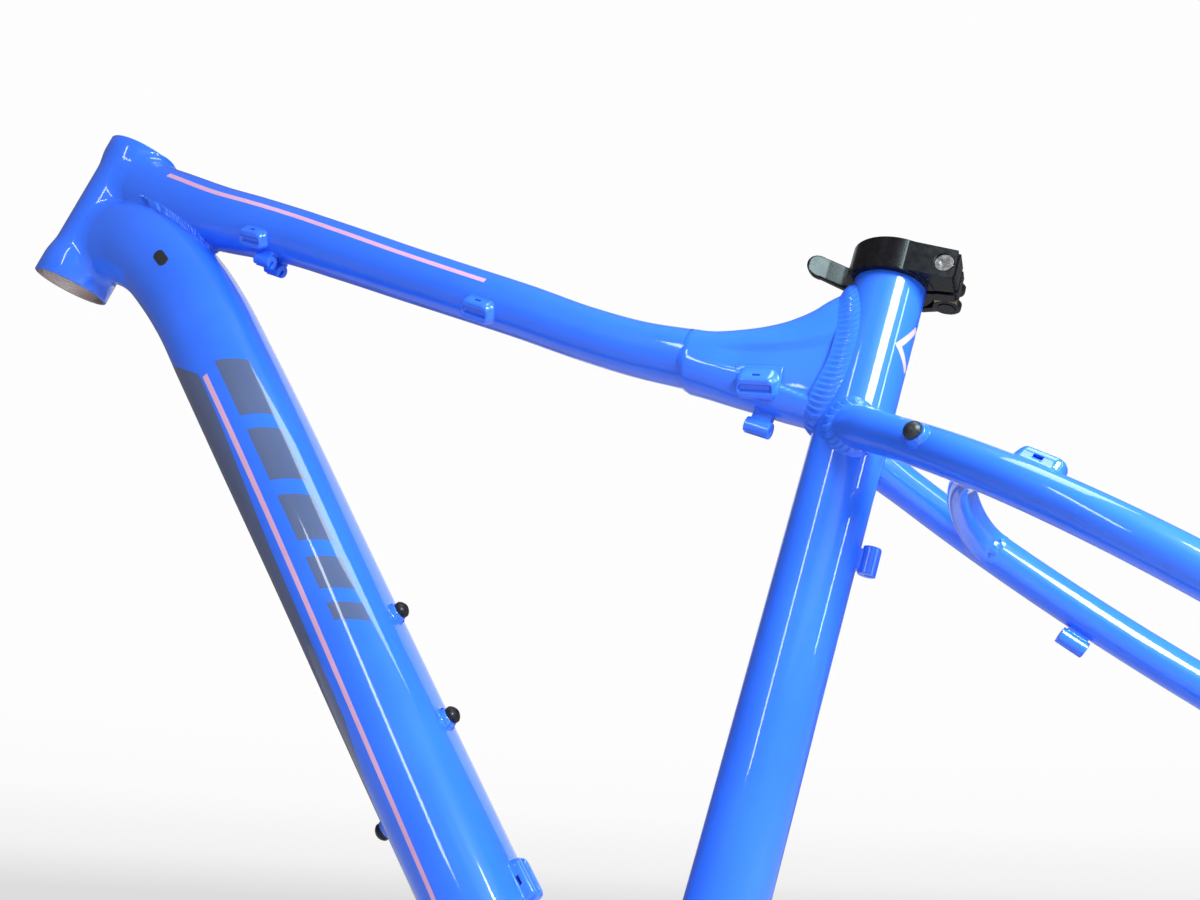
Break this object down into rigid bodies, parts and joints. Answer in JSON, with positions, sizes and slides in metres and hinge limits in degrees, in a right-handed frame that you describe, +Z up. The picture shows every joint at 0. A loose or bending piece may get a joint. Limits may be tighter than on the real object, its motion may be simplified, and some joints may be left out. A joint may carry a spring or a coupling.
{
  "type": "bicycle frame",
  "caption": "Hardtail mountain bicycle frame with hydroformed main tubes, bent seat stays and a quick release seat clamp with a swinging lever.",
  "frame": {"origin": "centre of the bottom bracket shell", "axes": "+X forward, +Y to the rider's left, +Z up with the bicycle level"},
  "size_m": [0.9001, 0.1658, 0.6242],
  "materials": {
    "painted_frame": "gloss paint over aluminium",
    "bare_aluminium": "machined",
    "black_anodised": "gloss anodised",
    "black_steel": "satin black",
    "bright_steel": "bright",
    "brass": "satin",
    "black_rubber": "matt"
  },
  "bodies": {
    "frame": {"head_tube": "painted_frame", "top_tube": "painted_frame", "seat_yoke": "painted_frame", "down_tube": "painted_frame", "seat_tube": "painted_frame", "bottom_bracket_shell": "painted_frame", "seat_stay_left": "painted_frame", "seat_stay_right": "painted_frame", "chain_stay_left": "painted_frame", "chain_stay_right": "painted_frame", "seat_stay_bridge": "painted_frame", "chain_stay_bridge": "painted_frame", "dropout_left": "painted_frame", "dropout_right": "painted_frame", "disc_brake_tab": "painted_frame", "derailleur_hanger": "bare_aluminium", "hanger_bolts": "black_steel", "hose_guide_front": "painted_frame", "hose_guide_middle": "painted_frame", "hose_guide_rear": "painted_frame", "hose_guide_seat_stay": "painted_frame", "hose_guide_down_tube": "painted_frame", "cable_stop_front_left": "painted_frame", "cable_stop_front_right": "painted_frame", "cable_stop_rear": "painted_frame", "cable_stop_seat_tube": "painted_frame", "cable_stop_seat_stay": "painted_frame", "bottle_bosses": "painted_frame", "bottle_boss_bolts": "black_steel", "under_boss": "painted_frame", "under_boss_bolt": "black_steel", "rack_boss_left": "painted_frame", "rack_boss_right": "painted_frame", "rack_boss_cap_left": "black_rubber", "rack_boss_cap_right": "black_rubber", "cable_port_plug": "black_rubber"},
    "seat_clamp": {"clamp_collar": "black_anodised", "clamp_barrel": "bright_steel", "clamp_washer": "brass"},
    "clamp_screw": {"clamp_bolt": "bright_steel"},
    "release_lever": {"clamp_lever": "black_anodised"}
  },
  "joints": [
    {"name": "clamp_swivel", "type": "hinge", "parent": "frame", "child": "seat_clamp", "pos_m": [-0.12028, 0, 0.40867], "axis": [-0.2823, 0, 0.9593], "range_deg": [-30, 30]},
    {"name": "clamp_bolt_turn", "type": "hinge", "parent": "seat_clamp", "child": "clamp_screw", "pos_m": [-0.14474, 0, 0.40147], "axis": [0, 1, 0], "continuous": true},
    {"name": "lever_swing", "type": "hinge", "parent": "seat_clamp", "child": "release_lever", "pos_m": [-0.14474, -0.017, 0.40147], "axis": [0.2823, 0, -0.9593], "range_deg": [0, 150]}
  ]
}
